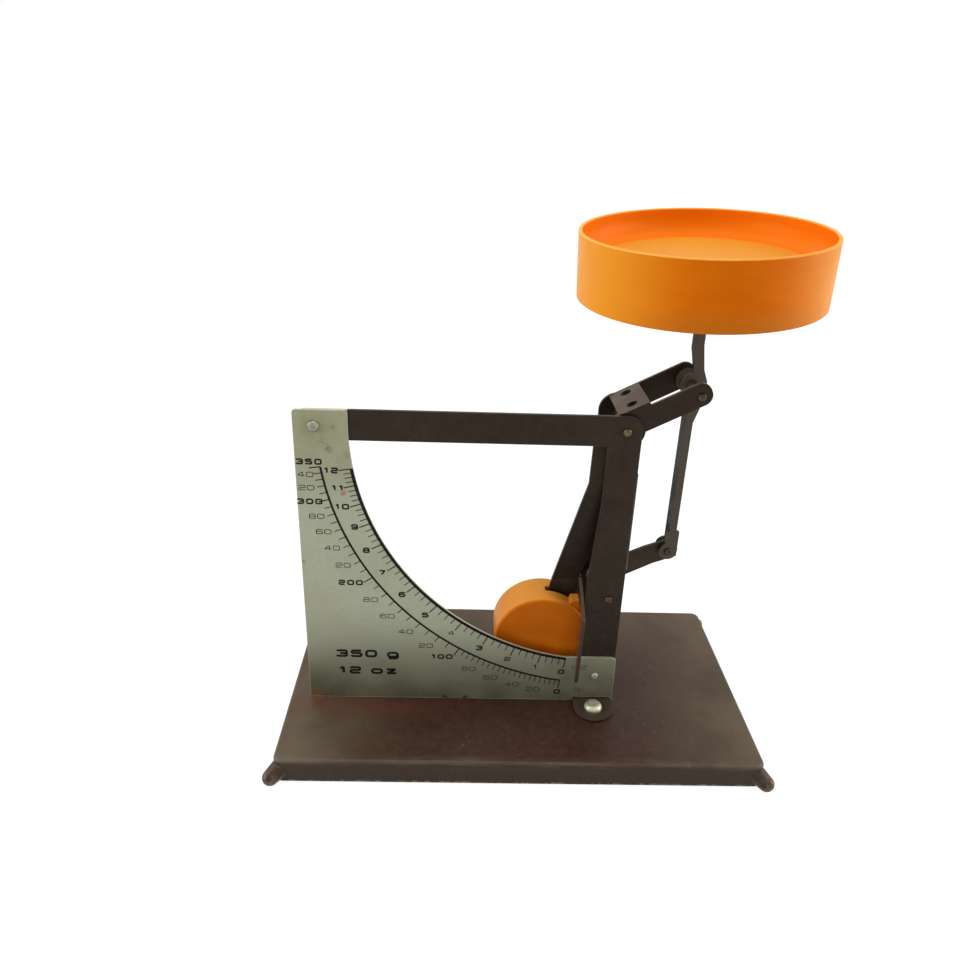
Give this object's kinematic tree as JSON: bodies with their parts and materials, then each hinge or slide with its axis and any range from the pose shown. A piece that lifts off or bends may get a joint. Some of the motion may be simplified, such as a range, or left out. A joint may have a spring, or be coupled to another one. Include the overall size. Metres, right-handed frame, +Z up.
{
  "type": "pendulum letter scale",
  "caption": "Small pendulum scale: a dished pan on an upright carrier, a folded beam with a round counterweight and a pointer that sweeps a curved graduated plate on a pressed steel base.",
  "frame": {"origin": "on the ground under the middle of the outline of the whole scale", "axes": "+X to the reader's right, from the plate towards the pan; +Y away from the reader; +Z up"},
  "size_m": [0.1916, 0.1058, 0.195],
  "materials": {
    "base_paint": "satin dark brown paint, worn to bright metal at the folds and feet",
    "frame_paint": "satin dark brown paint",
    "plate_metal": "satin grey-green face with printed graduations and a few stains",
    "beam_metal": "satin brown sheet, a little lighter on the bridge",
    "carrier_paint": "satin brown sheet",
    "pin_brass": "dull drawn metal",
    "rivet_metal": "dull plated rivet",
    "spacer_steel": "dull turned steel",
    "weight_steel": "raw steel, hidden",
    "orange_plastic": "moulded, satin to gloss",
    "pan_plastic": "moulded, satin to gloss"
  },
  "bodies": {
    "base": {"base_tray": "base_paint", "frame": "frame_paint", "scale_plate": "plate_metal", "strap_rivet": "rivet_metal", "side_rivet": "rivet_metal", "foot_rivets": "frame_paint", "main_pin": "pin_brass", "stay_pin": "pin_brass", "main_washers": "spacer_steel", "stay_sleeve_front": "spacer_steel", "stay_sleeve_rear": "spacer_steel"},
    "beam": {"beam": "beam_metal", "pan_pin": "pin_brass", "pan_sleeve": "spacer_steel", "pan_washer": "spacer_steel", "weight_case": "orange_plastic", "weight_cap": "orange_plastic", "weight_discs": "weight_steel", "weight_rivet": "spacer_steel"},
    "carrier": {"carrier": "carrier_paint", "pan": "pan_plastic", "guide_pin": "pin_brass", "guide_washer": "spacer_steel", "guide_spacer": "spacer_steel"},
    "stay": {"stay": "carrier_paint"}
  },
  "joints": [
    {"name": "beam_hinge", "type": "hinge", "parent": "base", "child": "beam", "pos_m": [0.03065, 0, 0.1259], "axis": [0, 1, 0], "range_deg": [0, 76.7]},
    {"name": "carrier_pivot", "type": "hinge", "parent": "beam", "child": "carrier", "pos_m": [0.05515, 0, 0.1388], "axis": [0, 1, 0], "range_deg": [-76.7, 0]},
    {"name": "stay_pivot", "type": "hinge", "parent": "base", "child": "stay", "pos_m": [0.03065, 0, 0.0577], "axis": [0, 1, 0], "range_deg": [0, 76.7]}
  ],
  "couplings": [
    {"joint": "carrier_pivot", "follows": "beam_hinge", "ratio": -1},
    {"joint": "stay_pivot", "follows": "beam_hinge", "ratio": 1}
  ]
}
